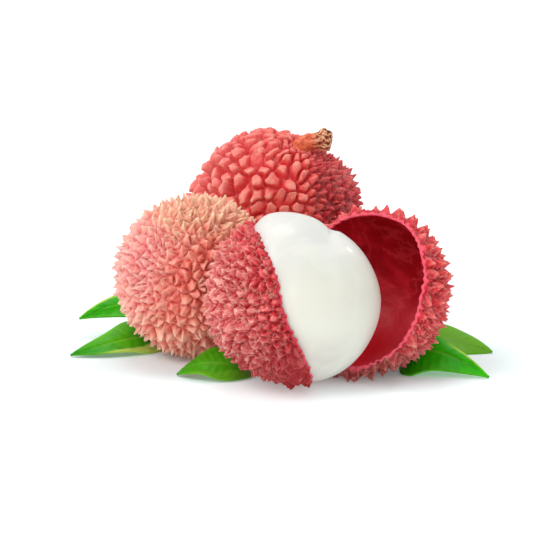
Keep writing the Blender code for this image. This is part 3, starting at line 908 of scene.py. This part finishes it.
def peel(name, bloomed):
    """Peel of the opened fruit: matt outside, pale at the torn lip, glossy and deep red inside.

    bloomed is True for the held part, which is dusty pink outside, and False for the empty part.
    """
    f = Finish(name, 0.5, 0.22)
    rise, ridge, crease = f.read("rise"), f.read("ridge"), f.read("crease")
    # This ramp and the others over rise below keep the peel's own hues, but paint the grooves
    # darker and the tips paler: painted shade and painted light.
    crimson = f.ramp(
        rise,
        (0.0, shade_of(176, 12, 32)),
        (0.2, shade_of(208, 34, 50)),
        (0.6, shade_of(222, 56, 64)),
        (0.95, shade_of(243, 126, 116)),
    )
    skin = crimson
    if bloomed:
        dusty = f.ramp(
            rise,
            (0.0, shade_of(184, 36, 48)),
            (0.2, shade_of(200, 66, 72)),
            (0.6, shade_of(210, 106, 102)),
            (0.95, shade_of(224, 168, 154)),
        )
        fleck = f.times(f.minus(f.grain(300, 5, 0.65), 0.5), 2.2)
        mask = f.plus(f.read("bloom"), fleck)
        skin = f.blend(f.span(mask, 0.45, 1.0), crimson, dusty)
        edge_red = f.ramp(
            rise,
            (0.0, shade_of(170, 8, 28)),
            (0.35, shade_of(212, 32, 50)),
            (0.95, shade_of(238, 84, 90)),
        )
        skin = f.blend(f.times(f.read("near_edge"), 0.9), skin, edge_red)
        low = f.span(f.toward((0.1, -0.1, -1)), -0.017, -0.004)
        skin = f.blend(f.times(low, 0.85), skin, shade_of(158, 30, 38))
        brown = f.times(f.span(f.grain(170, 3), 0.60, 0.68), 0.35)
        brown = f.times(brown, f.span(f.toward((0.6, 0, 0.5)), -0.002, 0.008))
        skin = f.blend(brown, skin, shade_of(170, 92, 60))
        top = f.span(f.toward((0.2, 0, 1)), 0.027, 0.033, 0, 0.35)
        skin = f.blend(top, skin, shade_of(150, 18, 38))
    else:
        low = f.span(f.toward((0, 0, -1)), -0.014, -0.003)
        skin = f.blend(f.times(low, 0.8), crimson, shade_of(134, 50, 44))
    own = f.read("own_shade")
    skin = f.blend(f.span(own, 0.55, 1.0, 0, 0.3), skin, shade_of(240, 116, 116))
    # Painted shade: the creases between tubercles are darkened.
    skin = f.blend(f.times(crease, 0.75 if bloomed else 0.5), skin, shade_of(150, 8, 26))
    # Painted highlights: pale lines along the edges between a tubercle's sides and along the rays
    # from its tip, on the held part fewer near the lip and lower down.
    edge_line = f.times(f.span(ridge, 0.55, 1.0), f.span(rise, 0.1, 0.6))
    lined = f.unless(f.times(f.read("near_edge"), 0.65 if bloomed else 0.0))
    lined = f.times(lined, f.unless(f.times(low, 0.5 if bloomed else 0.0)))
    edge_line = f.times(edge_line, lined)
    skin = f.blend(f.times(edge_line, 0.45 if bloomed else 0.25), skin, shade_of(246, 160, 150))
    ray_line = f.times(f.span(f.read("ray"), 0.25, 0.7), f.span(f.grain(260, 3), 0.35, 0.6))
    ray_line = f.times(ray_line, lined)
    skin = f.blend(f.times(ray_line, 0.35 if bloomed else 0.5), skin, shade_of(248, 178, 162))
    speck = f.times(f.span(f.grain(1100, 2), 0.60, 0.70), f.span(rise, 0.35, 0.8))
    skin = f.blend(f.times(speck, 0.35), skin, shade_of(250, 212, 196))
    if bloomed:
        amount = f.plus(f.times(f.read("bloom"), 0.40), 0.12)
        skin = f.glints_and_mottle(skin, f.minus(amount, f.times(f.read("near_edge"), 0.17)))
        skin = f.blend(f.times(low, 0.4), skin, shade_of(158, 24, 34))
    else:
        skin = f.glints_and_mottle(skin, 0.22)
    lining = f.ramp(
        f.grain(110, 5, 0.6, 0.6),
        (0.30, shade_of(134, 5, 18)),
        (0.52, shade_of(162, 9, 24)),
        (0.70, shade_of(206, 34, 50)),
    )
    # Painted light: the lower part of the lining is brightened to a vivid red, where light falls
    # into the cup.
    lower = f.span(f.toward((-0.25, -0.2, -1)), -0.0255, -0.010)
    lining = f.blend(f.times(lower, 0.9), lining, shade_of(250, 44, 66))
    beside_rim = f.span(f.toward((1, -0.3, -0.8)), 0.0055, 0.0105)
    beside_rim = f.times(beside_rim, f.span(f.grain(130, 4, 0.6), 0.36, 0.60, 0.35, 0.75))
    lining = f.blend(beside_rim, lining, shade_of(255, 112, 124))
    vein = f.math("ABSOLUTE", f.minus(f.grain(60, 6, 0.62, 2.4), 0.5), 0.0)
    lining = f.blend(f.span(vein, 0.0, 0.05, 0.24, 0), lining, shade_of(236, 84, 92))
    both = f.blend(f.read("lining"), skin, lining)
    rim = shade_of(226, 66, 86) if bloomed else shade_of(240, 92, 112)
    f.colour(f.blend(f.span(f.read("rim"), 0.35, 0.9), both, rim))
    shine = f.node("ShaderNodeMix", data_type="FLOAT")
    f.join(f.read("lining"), shine.inputs[0])
    shine.inputs[2].default_value = 0.5
    shine.inputs[3].default_value = 0.42
    f.join(shine.outputs[0], f.shader.inputs["Roughness"])
    f.bump(f.grain(1300, 5), 0.5, 0.0002)
    soft_inside(f, 0.22, (1.0, 0.25, 0.2), 0.001)
    return f.paint


def aril():
    f = Finish("moist white aril", 0.5, 0.35)
    height = f.toward((0, 0, 1))
    # Painted shade: the flesh is greyer towards the bottom and a little darker at the very top.
    body = f.ramp(
        f.span(height, 0.002, 0.034),
        (0.0, shade_of(195, 187, 181)),
        (0.35, shade_of(230, 226, 214)),
        (0.7, shade_of(239, 237, 224)),
        (1.0, shade_of(220, 221, 218)),
    )
    cloud = f.grain(70, 3, 0.5, 0.8, (1, 1, 0.45))
    body = f.blend(f.span(cloud, 0.42, 0.62, 0, 0.6), body, shade_of(226, 225, 212))
    pearl = f.span(f.grain(120, 3, 0.5, 0.6), 0.48, 0.66)
    pearl = f.times(pearl, f.span(height, 0.014, 0.026, 0, 0.35))
    body = f.blend(pearl, body, shade_of(247, 246, 238))
    # Painted shade: the flesh is greyer towards its right edge and a little darker towards its
    # left.
    right = f.span(f.toward((1, 0.2, -0.3)), -0.002, 0.014)
    body = f.blend(f.times(right, 0.2), body, shade_of(198, 197, 190))
    left = f.span(f.toward((-1, 0, 0.2)), 0.002, 0.012)
    body = f.blend(f.times(left, 0.5), body, shade_of(224, 220, 211))
    f.colour(body)
    f.bump(f.grain(160, 3, 0.5, 0.4), 0.06, 0.0008)
    f.shader.inputs["Coat Weight"].default_value = 0.3
    f.shader.inputs["Coat Roughness"].default_value = 0.08
    soft_inside(f, 0.45, (1.0, 0.92, 0.8), 0.004)
    return f.paint


def bark():
    f = Finish("dry orange brown stalk", 0.7, 0.3)
    head, fibre = f.read("head"), f.read("fibre")
    grainy = f.grain(1100, 4)
    neck = f.ramp(
        grainy,
        (0.3, shade_of(176, 70, 40)),
        (0.5, shade_of(226, 108, 74)),
        (0.7, shade_of(242, 150, 108)),
    )
    frayed = f.ramp(
        f.plus(f.times(grainy, 0.6), f.times(fibre, 0.4)),
        (0.30, shade_of(112, 50, 28)),
        (0.46, shade_of(190, 104, 66)),
        (0.60, shade_of(226, 168, 124)),
        (0.78, shade_of(244, 214, 184)),
    )
    f.colour(f.blend(head, neck, frayed))
    f.bump(f.grain(2400, 4), 0.5, 0.0002)
    return f.paint


def leaf_finish():
    f = Finish("glossy green lychee leaf", 0.36, 0.12)
    cloud = f.grain(60, 3)
    body = f.ramp(
        cloud,
        (0.35, shade_of(20, 118, 0)),
        (0.52, shade_of(46, 152, 4)),
        (0.68, shade_of(86, 180, 16)),
    )
    body = f.blend(f.times(f.read("fresh"), 0.8), body, shade_of(56, 210, 0))
    body = f.blend(f.span(f.grain(420, 4, 0.6), 0.42, 0.66, 0, 0.3), body, shade_of(14, 108, 0))
    body = f.blend(f.read("olive"), body, shade_of(114, 178, 18))
    body = f.blend(f.span(f.read("from_rib"), 0.6, 1.0, 0, 0.3), body, shade_of(112, 196, 24))
    plain = f.unless(f.read("olive"))
    body = f.blend(f.times(f.times(f.read("vein"), 0.14), plain), body, shade_of(132, 196, 60))
    body = f.blend(f.times(f.times(f.read("rib"), 0.4), plain), body, shade_of(150, 206, 70))
    # Painted shadow: the leaf darkens towards its base, where it lies under the fruit.
    body = f.blend(f.span(f.read("along"), 0.5, 0.0, 0, 0.6), body, shade_of(2, 78, 0))
    # pale is a yellow-green sliver on the near half, and a painted highlight strip on the far
    # half.
    body = f.blend(f.times(f.read("pale"), 0.85), body, shade_of(206, 230, 100))
    f.colour(body)
    f.bump(f.grain(1800, 3), 0.12, 0.0001)
    f.shader.inputs["Coat Weight"].default_value = 0.03
    f.shader.inputs["Coat Roughness"].default_value = 0.25
    soft_inside(f, 0.08, (0.4, 1.0, 0.2), 0.001)
    return f.paint


def floor_finish():
    f = Finish("white floor with painted shadow", 0.75, 0.2)
    f.shader.inputs["Emission Color"].default_value = (0.985, 1, 1, 1)
    from_middle = f.node("ShaderNodeVectorMath", operation="DISTANCE")
    f.join(f.place(), from_middle.inputs[0])
    from_middle.inputs[1].default_value = (-0.006, 0.016, 0)
    away = from_middle.outputs["Value"]
    # Painted light: near the fruits the floor reflects less red, a cyan tint that takes out the
    # pink light bounced off them.
    f.colour(f.blend(f.span(away, 0.03, 0.075), (0.78, 0.90, 0.91, 1), (0.84, 0.90, 0.91, 1)))
    # Painted shadow and light: the floor glows less just behind the fruits, to deepen their shadow
    # there, and more just in front of them, to lighten it. Further out it glows more, so the far
    # floor stays white.
    front = f.span(f.toward((0, 1, 0)), -0.010, 0.014, 0.16, -0.20)
    front = f.times(front, f.span(away, 0.035, 0.07, 1, 0))
    glow = f.plus(f.span(away, 0.12, 0.6, 0.27, 0.45), front)
    f.join(glow, f.shader.inputs["Emission Strength"])
    return f.paint


# ---------------------------------------------------------------- the stage


def aim(thing, target):
    thing.rotation_euler = (Vector(target) - thing.location).to_track_quat("-Z", "Y").to_euler()


def area_light(name, place, target, size, watts, colour=(1, 1, 1)):
    data = bpy.data.lights.new(name, "AREA")
    data.shape = "DISK"
    data.size = size
    data.energy = watts
    data.color = colour
    light = bpy.data.objects.new(name, data)
    bpy.context.scene.collection.objects.link(light)
    light.location = place
    aim(light, target)


def set_stage():
    start_clean()
    bpy.ops.mesh.primitive_plane_add(size=8)
    floor = bpy.context.object
    floor.name = "floor"
    floor.data.materials.append(floor_finish())
    world = bpy.data.worlds.new("pale room")
    world.use_nodes = True
    world.node_tree.nodes["Background"].inputs["Color"].default_value = (1, 1, 1, 1)
    world.node_tree.nodes["Background"].inputs["Strength"].default_value = 0.65
    bpy.context.scene.world = world
    area_light("key", (-0.46, -0.34, 0.56), (0, 0.02, 0.015), 0.5, 2.9)
    area_light("glint", (0.42, 0.48, 0.335), (0.01, 0, 0.028), 0.03, 0.5)
    area_light("overhead", (-0.05, 0.21, 0.65), (0, 0.02, 0.01), 0.35, 1.2)
    camera_data = bpy.data.cameras.new("camera")
    camera_data.lens = 119.0
    camera_data.sensor_width = 36
    camera_data.clip_start = 0.01
    camera_data.clip_end = 20
    camera = bpy.data.objects.new("camera", camera_data)
    bpy.context.scene.collection.objects.link(camera)
    camera.location = (-0.00462, -0.34147, 0.09486)
    camera.rotation_euler = (math.radians(78), 0, 0)
    bpy.context.scene.camera = camera
    bpy.context.scene.view_settings.view_transform = "Standard"


# ---------------------------------------------------------------- putting it together


def make_left():
    fruit = even_ball("left_fruit", 4)
    ways = points_of(fruit)
    upper_left = facing(ways, (-0.9, 0, 0.4), 0.2, 0.8)
    low_front = facing(ways, (0.2, -0.5, -0.85), 0.7, 0.95)
    rows, notes = raise_skin(
        ways,
        dimpled(LEFT_RADIUS, LEFT_DEPTH, LEFT_STALK_AXIS),
        spread_seats(840, 5, rounds=3),
        LEFT_SPIKE,
        6,
        0.8 * facing(ways, (0.35, -0.92, -0.12), 0.80, 0.97),
        sink=(0.3 + 0.4 * upper_left - 0.5 * low_front) * MM,
        star=0.65,
        sharp=2.2,
        lean=0.45 * MM,
        wander=0.034,
        rough=0.42 * MM,
        rays=0.24 * MM,
    )
    set_down(fruit, rows, LEFT_CENTRE, notes)
    return finish_piece(fruit, left_skin(), "lychee_left")


def make_back():
    form = heart(BACK_RADIUS, BACK_DEPTH, BACK_STALK_AXIS)
    tries = spiral_ball(6000)
    lowest = tries[np.argmin(tries[:, 2] * form(tries))]
    rest = -lowest[2] * (form(lowest[None])[0] + BACK_KNOB) - PRESSED_FLAT
    centre = np.array([*BACK_STANDS_AT, rest])

    def right_side(ways, round_back=0.0):
        rightward = ways @ unit(np.array([0.97, -0.15, 0.12]))
        return ease(0.50, 0.74, rightward + round_back * np.clip(ways[:, 1] - 0.1, 0, 1))

    def crowding(ways):
        from_stalk = np.arccos(np.clip(ways @ BACK_STALK_AXIS, -1, 1))
        return 1 + 2.6 * np.exp(-((from_stalk / 0.42) ** 2)) + 3.0 * right_side(ways)

    fruit = even_ball("back_fruit", 4)
    ways = points_of(fruit)
    fine = right_side(ways, 0.5)
    left = ease(0.2, 0.75, -ways[:, 0])
    by_stalk = facing(ways, (0.62, -0.05, 0.78), 0.86, 0.98)
    high = ease(0.6, 0.95, ways[:, 2])
    rows, notes = raise_skin(
        ways,
        form,
        spread_seats(560, 9, crowding),
        BACK_KNOB * (1.2 + 1.3 * left + 0.1 * fine),
        10,
        0.15 * (1 - fine),
        knobby=0.9 * (1 - fine),
        lean=0.3 * MM,
        sharp=1.7,
        tilt=0.38,
        rough=0.2 * MM,
        rays=(0.06 + 0.14 * fine) * MM,
        narrow=left,
        long_way=unit(BACK_STALK_AXIS - (ways @ BACK_STALK_AXIS)[:, None] * ways + 1e-9),
        stretch=0.5 * (1 - fine),
        sink=(0.55 + 1.55 * left + 0.3 * high + 0.75 * by_stalk - 0.3 * fine) * MM,
    )
    notes["right_side"] = fine
    set_down(fruit, rows, centre, notes)
    finish_piece(fruit, back_skin(), "lychee_back")
    seat = centre + BACK_STALK_AXIS * (form(BACK_STALK_AXIS[None])[0] - 0.4 * MM)
    make_stalk(bark(), seat)


def make_peels():
    def held_edge(turn, way):
        waves = ((2, 0.5, 0.4), (5, 0.35, 1.0), (9, 0.3, 2.2), (14, 0.2, 0.3))
        front = ease(0.1, 0.7, -way[:, 1])
        high = way[:, 2]
        bow = 0.5 * ease(0.3, 0.7, high) - 0.68 * ease(0.6, 0.2, high) * ease(-0.55, -0.1, high)
        bow += 0.15 * ease(-0.35, -0.6, high)
        tip = 0.4 * ease(-0.75, -0.95, high) - 1.5 * ease(0.86, 0.98, high)
        return (-3.2 + 0.33 * torn_line(turn, waves, 0.11, 22) + front * bow + tip) * MM

    def empty_edge(turn, way):
        waves = ((2, 0.8, 1.2), (3, 0.5, 0.2), (7, 0.35, 1.9), (12, 0.25, 0.5))
        top_left = facing(way, (-0.1, 0.58, 0.8), 0.8, 0.97)
        low_left = facing(way, EMPTY_LOW_LEFT, 0.75, 0.95)
        far_left = facing(way, (-0.32, 0.70, 0.62), 0.8, 0.97)
        bow = 2.0 * top_left + 1.4 * far_left + 0.8 * low_left
        return (0.52 * torn_line(turn, waves, 0.07, 32) + bow) * MM

    def empty_sink(ways):
        raised = 0.15 * facing(ways, (0.0, 0.5, 0.87), 0.75, 0.97)
        raised += 1.6 * facing(ways, EMPTY_LOW_LEFT, 0.75, 0.95)
        sunk = 0.15 * facing(ways, (0.55, 0, 0.83), 0.75, 0.97)
        sunk += 0.7 * facing(ways, (0.1, -0.3, -0.95), 0.75, 0.95)
        sunk += 0.5 * facing(ways, (0.93, 0, -0.36), 0.93, 0.99)
        return (sunk - raised) * MM

    def empty_height(ways):
        high, left = ways[:, 2], ease(0.5, 0.0, ways[:, 0])
        taller = 0.15 * ease(0.3, 0.9, high) - 0.4 * left * ease(0.5, 0.9, high)
        return EMPTY_SPIKE * (1.35 + taller)

    held = peel_half(
        "held_peel",
        OPENED_CENTRE,
        OPENED_AXIS,
        held_edge,
        ovoid(OPENED_OUTSIDE, OPENED_DEPTH),
        ovoid(OPENED_INSIDE, OPENED_DEPTH),
        spread_seats(640, 21, rounds=3),
        lambda ways: OPENED_SPIKE * (1.65 - 0.3 * ease(*HELD_UNDERSIDE, -ways[:, 2])),
        lambda ways: (0.1 + 0.85 * ease(*HELD_UNDERSIDE, -ways[:, 2])) * MM,
        22,
        0.05,
        lip_wall=0.28 * MM,
        star=0.85,
        lean=0.3 * MM,
        sharp=2.1,
        wander=0.03,
        rough=0.45 * MM,
        rays=0.34 * MM,
    )
    finish_piece(held, peel("bloomed crimson peel", True), "peel_half_held")
    empty = peel_half(
        "empty_peel",
        EMPTY_CENTRE,
        EMPTY_AXIS,
        empty_edge,
        ovoid(EMPTY_OUTSIDE, 1.0),
        ovoid(EMPTY_INSIDE, 1.0),
        spread_seats(660, 31, rounds=3),
        empty_height,
        empty_sink,
        32,
        0.0,
        lip_wall=0.42 * MM,
        star=0.65,
        lean=0.45 * MM,
        wander=0.03,
        rough=0.42 * MM,
        rays=0.32 * MM,
    )
    finish_piece(empty, peel("open crimson peel", False), "peel_half_empty")


set_stage()
make_left()
make_back()
make_peels()
make_flesh(aril())
green = leaf_finish()
for leaf_name in LEAF_RIBS:
    make_leaf(leaf_name, green)
